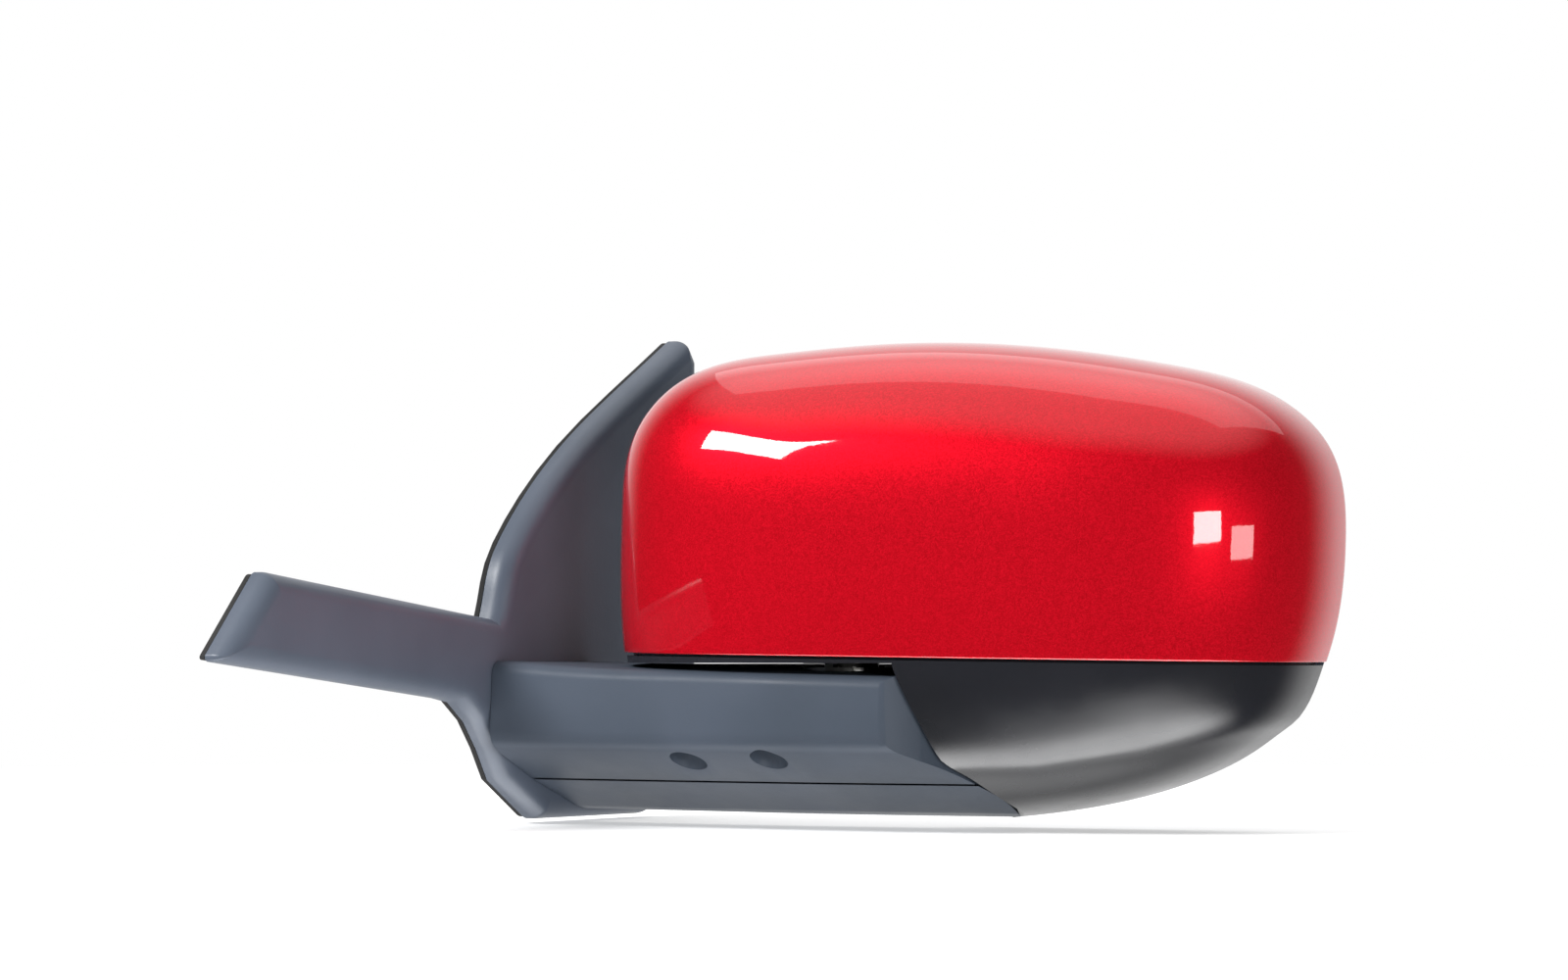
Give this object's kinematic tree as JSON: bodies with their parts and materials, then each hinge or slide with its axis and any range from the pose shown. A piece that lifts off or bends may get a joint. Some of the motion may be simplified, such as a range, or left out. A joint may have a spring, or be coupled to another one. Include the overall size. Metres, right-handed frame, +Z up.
{
  "type": "car side mirror",
  "caption": "Car door mirror: folding head with a painted cap and powered, heated glass on an arm and sail panel that bolt to the door by studs.",
  "frame": {"origin": "on the flat door face of the bracket's plate, level with the arm and in line with the fold axis", "axes": "+X out from the door along the arm, +Y to the rear of the car, +Z up along the fold axis"},
  "size_m": [0.2973, 0.2674, 0.1679],
  "materials": {
    "red_paint": "metallic red paint under clear coat, glossy",
    "black_plastic": "fine moulded grain, satin",
    "black_nylon": "matte, glass filled",
    "grey_nylon": "satin",
    "cast_metal": "as cast, matte",
    "zinc_steel": "zinc plated",
    "brass": "machined",
    "rubber": "matte",
    "foam_rubber": "closed-cell foam, matte",
    "heater_film": "matte film",
    "mirror": "polished"
  },
  "bodies": {
    "base": {"base_bracket": "cast_metal", "sail_panel": "black_plastic", "arm_cover": "black_plastic", "arm_under_cover": "black_plastic", "door_gasket": "foam_rubber", "door_stud_1": "zinc_steel", "door_stud_2": "zinc_steel", "door_stud_3": "zinc_steel", "harness_grommet": "rubber", "fold_post": "zinc_steel", "detent_ring_lower": "zinc_steel", "fold_spring": "zinc_steel", "spring_retainer": "zinc_steel", "arm_screw_1": "zinc_steel", "arm_screw_2": "zinc_steel"},
    "head": {"head_frame": "black_nylon", "cap": "red_paint", "lower_cover": "black_plastic", "bezel": "black_plastic", "bezel_screw_1": "zinc_steel", "bezel_screw_2": "zinc_steel", "detent_ring_upper": "zinc_steel", "pivot_bush": "grey_nylon", "actuator_case": "black_nylon", "actuator_cover": "grey_nylon", "actuator_screw_1": "zinc_steel", "actuator_screw_2": "zinc_steel", "actuator_screw_3": "zinc_steel", "pan_motor": "zinc_steel", "tilt_motor": "zinc_steel"},
    "gimbal": {"gimbal_ring": "grey_nylon"},
    "glass": {"glass_carrier": "black_nylon", "heater_pad": "heater_film", "mirror_glass": "mirror"},
    "pan_plunger": {"pan_plunger": "grey_nylon"},
    "tilt_plunger": {"tilt_plunger": "grey_nylon"},
    "pan_wheel": {"pan_wheel": "grey_nylon"},
    "tilt_wheel": {"tilt_wheel": "grey_nylon"},
    "pan_worm": {"pan_worm": "brass"},
    "tilt_worm": {"tilt_worm": "brass"}
  },
  "joints": [
    {"name": "head_fold", "type": "hinge", "parent": "base", "child": "head", "pos_m": [0.128, 0, 0], "axis": [0, 0, 1], "range_deg": [-55, 63]},
    {"name": "glass_pan", "type": "hinge", "parent": "head", "child": "gimbal", "pos_m": [0.17625, 0.03275, 0.066], "axis": [0, 0, 1], "range_deg": [-8, 8]},
    {"name": "glass_tilt", "type": "hinge", "parent": "gimbal", "child": "glass", "pos_m": [0.17625, 0.03275, 0.066], "axis": [0.9781, 0.2079, 0], "range_deg": [-8, 8]},
    {"name": "pan_jack", "type": "slide", "parent": "head", "child": "pan_plunger", "axis": [-0.2079, 0.9781, 0], "range_m": [-0.0033, 0.0033]},
    {"name": "tilt_jack", "type": "slide", "parent": "head", "child": "tilt_plunger", "axis": [-0.2079, 0.9781, 0], "range_m": [-0.0033, 0.0033]},
    {"name": "pan_wheel_spin", "type": "hinge", "parent": "head", "child": "pan_wheel", "pos_m": [0.2022, 0.01884, 0.066], "axis": [-0.2079, 0.9781, 0], "range_deg": [-290, 290]},
    {"name": "tilt_wheel_spin", "type": "hinge", "parent": "head", "child": "tilt_wheel", "pos_m": [0.1802, 0.01416, 0.0435], "axis": [-0.2079, 0.9781, 0], "range_deg": [-290, 290]},
    {"name": "pan_worm_spin", "type": "hinge", "parent": "head", "child": "pan_worm", "pos_m": [0.2022, 0.01884, 0.07625], "axis": [-0.9781, -0.2079, 0], "continuous": true},
    {"name": "tilt_worm_spin", "type": "hinge", "parent": "head", "child": "tilt_worm", "pos_m": [0.17017, 0.01203, 0.0435], "axis": [0, 0, 1], "continuous": true}
  ],
  "couplings": [
    {"joint": "pan_jack", "follows": "glass_pan", "m_per_rad": 0.0225},
    {"joint": "tilt_jack", "follows": "glass_tilt", "m_per_rad": 0.0225},
    {"joint": "pan_wheel_spin", "follows": "glass_pan", "ratio": 35.343},
    {"joint": "tilt_wheel_spin", "follows": "glass_tilt", "ratio": 35.343},
    {"joint": "pan_worm_spin", "follows": "glass_pan", "ratio": 706.86},
    {"joint": "tilt_worm_spin", "follows": "glass_tilt", "ratio": -706.86}
  ]
}
